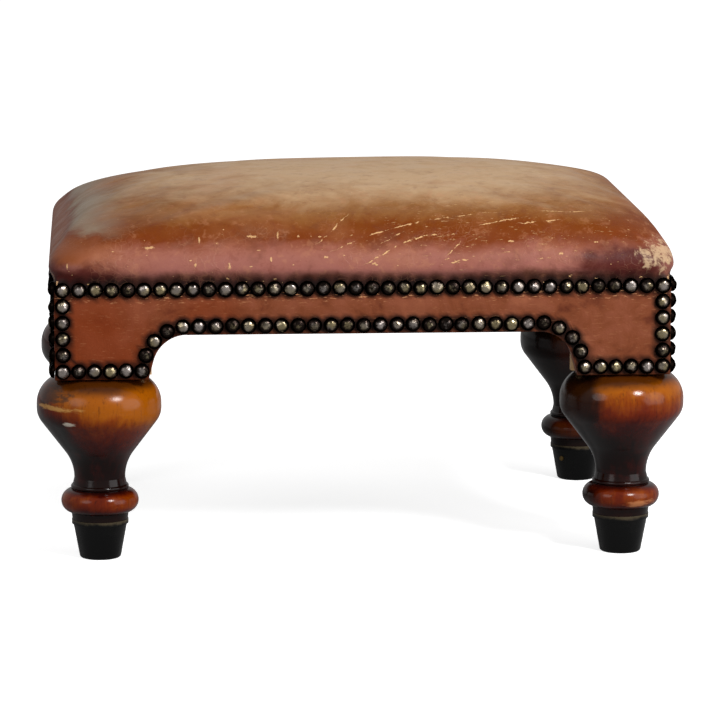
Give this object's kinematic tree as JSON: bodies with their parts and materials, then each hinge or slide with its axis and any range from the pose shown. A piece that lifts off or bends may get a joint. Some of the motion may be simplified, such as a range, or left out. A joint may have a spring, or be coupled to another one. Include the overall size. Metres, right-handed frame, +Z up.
{
  "type": "upholstered footstool",
  "caption": "Low rectangular footstool: domed leather seat over an arched, nail-trimmed frame on turned bulbous wooden legs with dark metal foot cups.",
  "frame": {"origin": "on the floor under the middle of the stool", "axes": "+Z up, +X along the seat's length to the right as seen from the front, the front faces -Y"},
  "size_m": [0.4442, 0.3562, 0.2516],
  "materials": {
    "beech": "sawn and planed, unfinished",
    "border_leather": "antiqued rust brown, satin",
    "antique_brass": "antiqued, nearly black, polished on the domes",
    "mahogany": "french-polished red-brown, glossy, worn",
    "blackened_brass": "blackened, satin",
    "dowel_beech": "fluted rod, unfinished",
    "steel": "zinc plated",
    "insert_brass": "machined",
    "pin_brass": "dull",
    "jute": "plain woven webbing",
    "blued_steel": "blued",
    "hessian_cloth": "open woven",
    "stuffing": "matted fibre",
    "wadding_felt": "soft felt",
    "seat_leather": "antiqued hand-dyed brown, crazed and worn, satin",
    "black_cloth": "plain woven black"
  },
  "bodies": {
    "root": {"front_rail": "beech", "front_border": "border_leather", "nails_front": "antique_brass", "back_rail": "beech", "back_border": "border_leather", "nails_back": "antique_brass", "left_rail": "beech", "left_border": "border_leather", "nails_left": "antique_brass", "right_rail": "beech", "right_border": "border_leather", "nails_right": "antique_brass", "corner_block_front_left": "beech", "leg_front_left": "mahogany", "foot_cup_front_left": "blackened_brass", "corner_block_front_right": "beech", "leg_front_right": "mahogany", "foot_cup_front_right": "blackened_brass", "corner_block_back_left": "beech", "leg_back_left": "mahogany", "foot_cup_back_left": "blackened_brass", "corner_block_back_right": "beech", "leg_back_right": "mahogany", "foot_cup_back_right": "blackened_brass", "corner_dowels": "dowel_beech", "block_screws": "steel", "leg_bolts": "steel", "bolt_inserts": "insert_brass", "cup_pins": "pin_brass", "webbing_long": "jute", "webbing_cross": "jute", "webbing_tacks": "blued_steel", "hessian": "hessian_cloth", "stuffing_pad": "stuffing", "wadding": "wadding_felt", "seat_cover": "seat_leather", "dust_cover": "black_cloth", "dust_cover_tacks": "blued_steel"}
  },
  "joints": []
}
